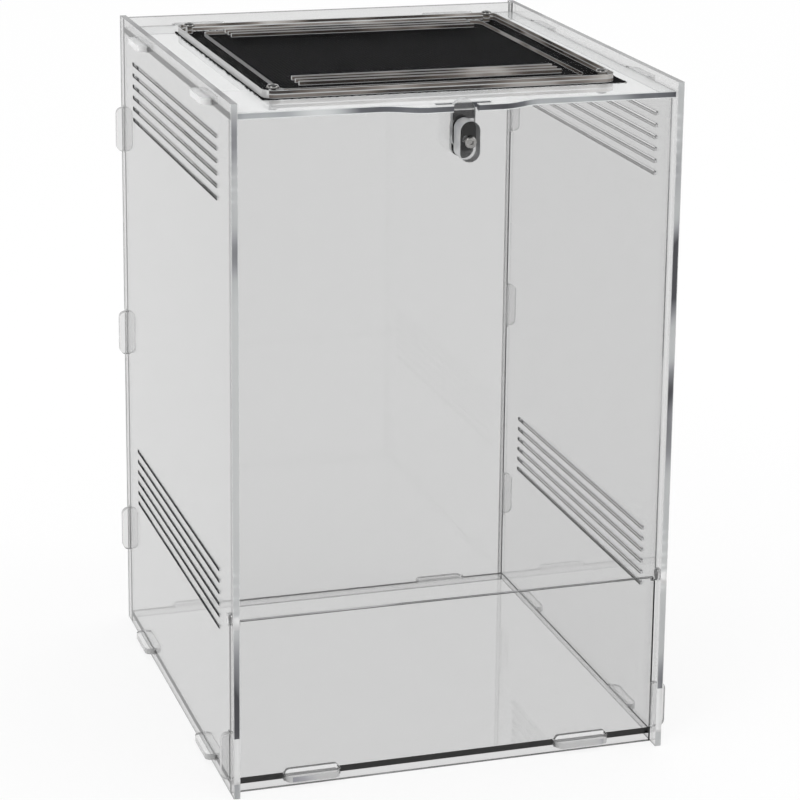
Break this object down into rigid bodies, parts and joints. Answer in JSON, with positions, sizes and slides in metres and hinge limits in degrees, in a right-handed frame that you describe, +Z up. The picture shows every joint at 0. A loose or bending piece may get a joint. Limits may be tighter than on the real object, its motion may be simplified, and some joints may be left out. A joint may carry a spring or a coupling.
{
  "type": "reptile terrarium",
  "caption": "Upright clear sheet terrarium with slotted side vents, a screened roof vent and a drop-down front door held by a turning latch.",
  "frame": {"origin": "middle of the footprint, on the surface that the terrarium stands on", "axes": "+Z up, +Y towards the back panel, +X to the right seen from the door side"},
  "size_m": [0.214, 0.2397, 0.3182],
  "materials": {
    "clear_sheet": "polished clear acrylic",
    "steel": "bright plated steel",
    "screen": "black woven screen"
  },
  "bodies": {
    "enclosure": {"left_side_panel": "clear_sheet", "right_side_panel": "clear_sheet", "back_panel": "clear_sheet", "floor_panel": "clear_sheet", "roof_panel": "clear_sheet", "lower_front_panel": "clear_sheet", "vent_mesh": "screen", "vent_frame": "clear_sheet", "vent_cover": "clear_sheet", "vent_screws": "steel", "vent_nuts": "steel"},
    "door": {"door_panel": "clear_sheet", "latch_spacer": "clear_sheet", "latch_screw": "steel", "latch_washer": "steel", "latch_nut": "steel"},
    "latch": {"latch_lever": "clear_sheet", "latch_knob": "clear_sheet"}
  },
  "joints": [
    {"name": "door_hinge", "type": "hinge", "parent": "enclosure", "child": "door", "pos_m": [0, -0.10155, 0.0838], "axis": [1, 0, 0], "range_deg": [0, 105]},
    {"name": "latch_turn", "type": "hinge", "parent": "door", "child": "latch", "pos_m": [0, -0.10755, 0.2975], "axis": [0, 1, 0], "range_deg": [-90, 90]}
  ]
}
